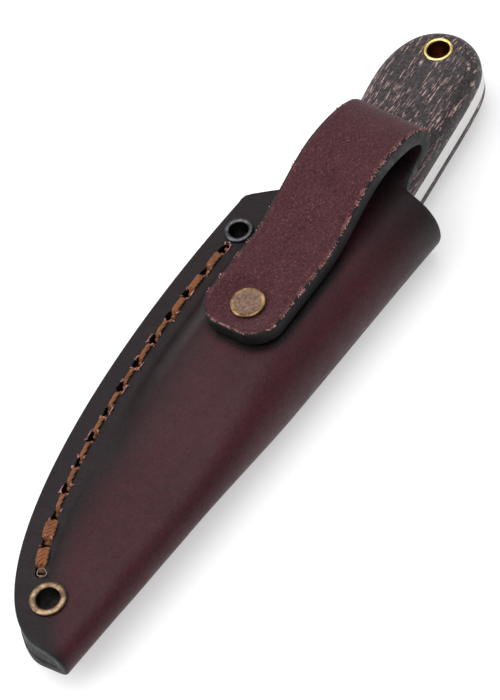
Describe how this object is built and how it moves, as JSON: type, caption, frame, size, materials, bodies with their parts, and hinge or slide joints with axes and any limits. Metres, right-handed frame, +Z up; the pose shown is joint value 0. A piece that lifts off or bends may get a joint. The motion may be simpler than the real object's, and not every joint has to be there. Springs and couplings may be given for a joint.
{
  "type": "whittling knife with sheath",
  "caption": "Full-tang whittling knife with dark burlap micarta scales and a brass lanyard tube, in a folded, welted leather pouch sheath with a belt strap that closes with a press stud.",
  "frame": {"origin": "bottom centre of the bounding box of the knife in its closed sheath, lying with the belt strap up", "axes": "+X along the fold towards the butt of the handle, which is the draw direction; +Y towards the stitched seam and the cutting edge; +Z up through the belt strap"},
  "size_m": [0.1826, 0.0452, 0.0307],
  "materials": {
    "oxblood_leather": "smooth waxed, burnished darker towards the edges",
    "edge_leather": "cut edge, painted black",
    "suede_strap": "flesh side out, suede",
    "waxed_thread": "flat waxed thread",
    "gunmetal": "blackened",
    "antique_brass": "antiqued",
    "bright_brass": "polished",
    "polished_steel": "polished",
    "micarta": "satin burlap micarta"
  },
  "bodies": {
    "sheath": {"sheath_leather": "oxblood_leather", "welt": "edge_leather", "seam_thread": "waxed_thread", "upper_eyelet": "gunmetal", "upper_eyelet_washer": "gunmetal", "lower_eyelet": "antique_brass", "lower_eyelet_washer": "antique_brass", "snap_stud": "antique_brass", "snap_stud_post": "antique_brass"},
    "strap": {"belt_strap": "suede_strap", "snap_socket": "antique_brass", "snap_cap": "antique_brass"},
    "knife": {"knife_blade": "polished_steel", "upper_handle_scale": "micarta", "lower_handle_scale": "micarta", "lanyard_tube": "bright_brass", "handle_pins": "bright_brass"}
  },
  "joints": [
    {"name": "knife_draw", "type": "slide", "parent": "sheath", "child": "knife", "axis": [1, 0, 0], "range_m": [0, 0.14]},
    {"name": "strap_open", "type": "hinge", "parent": "sheath", "child": "strap", "pos_m": [0.05177, -0.00097, 0.0307], "axis": [-0.061, 0.9981, 0], "range_deg": [0, 120]}
  ]
}
